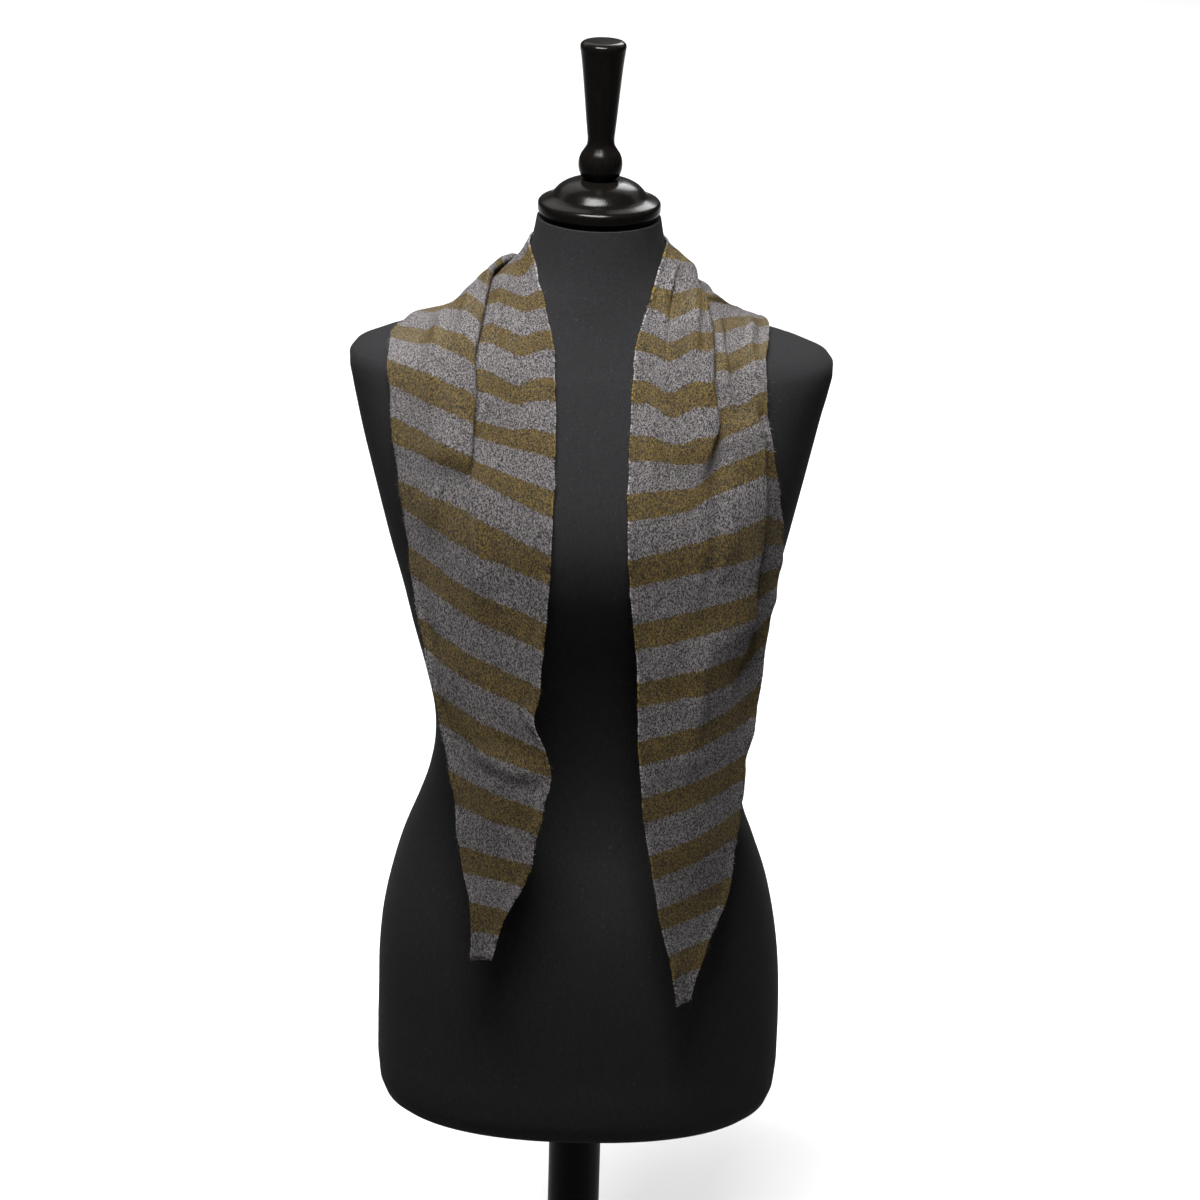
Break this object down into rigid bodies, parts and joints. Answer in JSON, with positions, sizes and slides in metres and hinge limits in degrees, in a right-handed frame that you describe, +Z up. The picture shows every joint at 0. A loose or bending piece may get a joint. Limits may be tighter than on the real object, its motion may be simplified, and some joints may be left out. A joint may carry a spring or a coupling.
{
  "type": "triangle scarf on a dress form",
  "caption": "Striped knitted triangle scarf round the neck of a limbless black dress form on a round-based stand.",
  "frame": {"origin": "middle of the round base's underside, on the floor", "axes": "+Z up along the pole, front towards -Y, the wearer's left towards +X"},
  "size_m": [0.4, 0.4, 1.2158],
  "materials": {
    "scarf_knit": "matt brushed knit in grey and olive stripes",
    "form_jersey": "matt fine black jersey",
    "black_wood": "satin black lacquer",
    "black_metal": "satin black powder coat"
  },
  "bodies": {
    "root": {"torso": "form_jersey", "neck_plate": "black_metal", "neck_cap": "black_wood", "finial": "black_wood", "pole": "black_metal", "base": "black_metal", "base_collar": "black_metal", "scarf_tail_left": "scarf_knit", "scarf_neck_left": "scarf_knit", "scarf_neck_right": "scarf_knit", "scarf_tail_right": "scarf_knit"}
  },
  "joints": []
}
